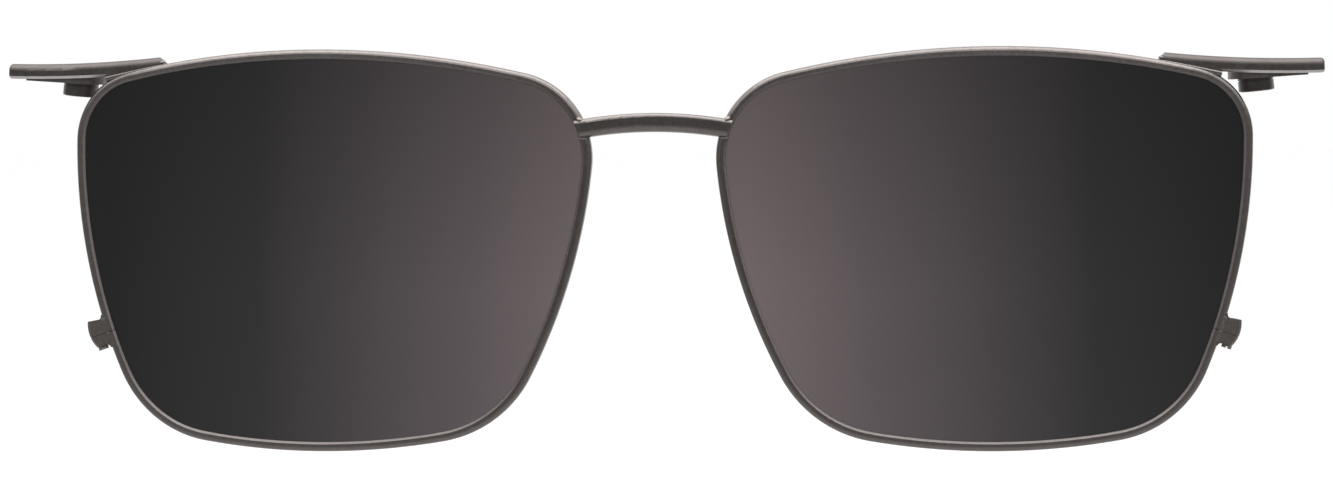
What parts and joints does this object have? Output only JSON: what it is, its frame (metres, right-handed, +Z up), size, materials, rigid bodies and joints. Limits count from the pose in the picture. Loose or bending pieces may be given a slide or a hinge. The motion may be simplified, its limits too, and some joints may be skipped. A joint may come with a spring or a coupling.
{
  "type": "magnetic clip-on sunglass front",
  "caption": "Magnetic clip-on sunglass front: thin metal rims joined by a bridge bar, dark lenses, rim locks with closing screws, and end arms that carry magnets in cups.",
  "frame": {"origin": "centre of the clip's box at rest", "axes": "+X to the right as the clip's front is looked at, +Y from the front towards the wearer's face, +Z up"},
  "size_m": [0.139, 0.014, 0.0422],
  "materials": {
    "frame_metal": "polished gunmetal plating",
    "lens_tint": "smooth polarised lens, dark grey-brown",
    "dark_plating": "dark plated, satin",
    "magnet_nickel": "nickel plated",
    "screw_steel": "turned, bright"
  },
  "bodies": {
    "front": {"bridge_bar": "frame_metal", "right_eyewire": "frame_metal", "right_lens": "lens_tint", "right_lock_upper": "frame_metal", "right_lock_lower": "frame_metal", "right_end_arm": "frame_metal", "right_magnet_pad": "dark_plating", "right_magnet_cup": "dark_plating", "right_magnet": "magnet_nickel", "left_eyewire": "frame_metal", "left_lens": "lens_tint", "left_lock_upper": "frame_metal", "left_lock_lower": "frame_metal", "left_end_arm": "frame_metal", "left_magnet_pad": "dark_plating", "left_magnet_cup": "dark_plating", "left_magnet": "magnet_nickel"},
    "right_screw": {"right_closing_screw": "screw_steel"},
    "left_screw": {"left_closing_screw": "screw_steel"}
  },
  "joints": [
    {"name": "right_screw_turn", "type": "hinge", "parent": "front", "child": "right_screw", "pos_m": [0.05928, -0.00029, -0.01017], "axis": [0.3186, 0.0363, 0.9472], "continuous": true},
    {"name": "left_screw_turn", "type": "hinge", "parent": "front", "child": "left_screw", "pos_m": [-0.05928, -0.00029, -0.01017], "axis": [-0.3186, 0.0363, 0.9472], "continuous": true}
  ]
}
